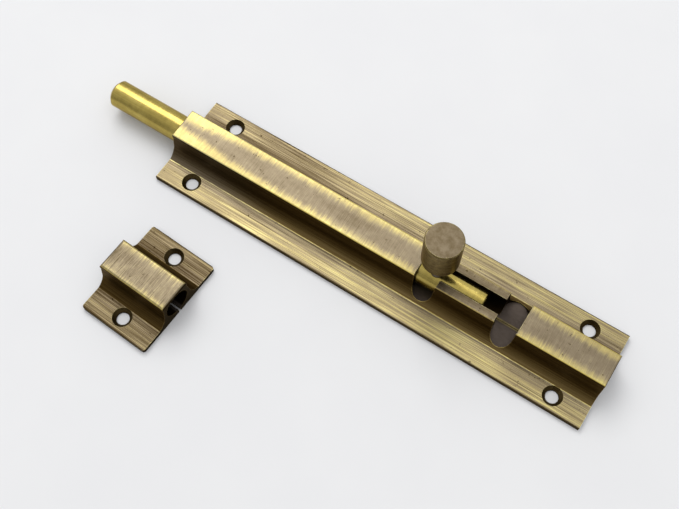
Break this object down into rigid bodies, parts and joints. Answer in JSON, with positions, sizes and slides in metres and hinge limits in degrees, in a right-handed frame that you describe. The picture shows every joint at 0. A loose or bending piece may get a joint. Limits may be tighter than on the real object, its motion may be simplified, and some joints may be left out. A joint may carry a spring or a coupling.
{
  "type": "barrel bolt",
  "caption": "Straight barrel bolt: a sliding round bolt with a turn-down knob in a drawn, lipped body with screw flanges, and a separate keeper of the same section.",
  "frame": {"origin": "on the underside of the body, midway along it and directly under the bolt's axis", "axes": "+Z out of the surface that the bolt is screwed to; the bolt shoots out along -X and is drawn back along +X; +Y completes the frame"},
  "size_m": [0.1771, 0.0815, 0.0319],
  "materials": {
    "antique_brass_body": "brushed, antiqued",
    "antique_brass_keeper": "brushed, antiqued",
    "bright_brass": "turned, lightly rubbed",
    "spring_steel": "satin",
    "dark_steel": "blackened thread",
    "dark_nut": "blackened",
    "antique_brass_knob": "turned, antiqued"
  },
  "bodies": {
    "base": {"bolt_body": "antique_brass_body", "keeper": "antique_brass_keeper"},
    "slider": {"friction_ring": "spring_steel"},
    "bolt": {"bolt_rod": "bright_brass", "knob_stud": "dark_steel", "lock_nut": "dark_nut", "knob": "antique_brass_knob"}
  },
  "joints": [
    {"name": "bolt_slide", "type": "slide", "parent": "base", "child": "slider", "axis": [1, 0, 0], "range_m": [-0.0028, 0.0266]},
    {"name": "bolt_turn", "type": "hinge", "parent": "slider", "child": "bolt", "pos_m": [0.018, 0, 0.00638], "axis": [1, 0, 0], "range_deg": [-83, 83]}
  ]
}
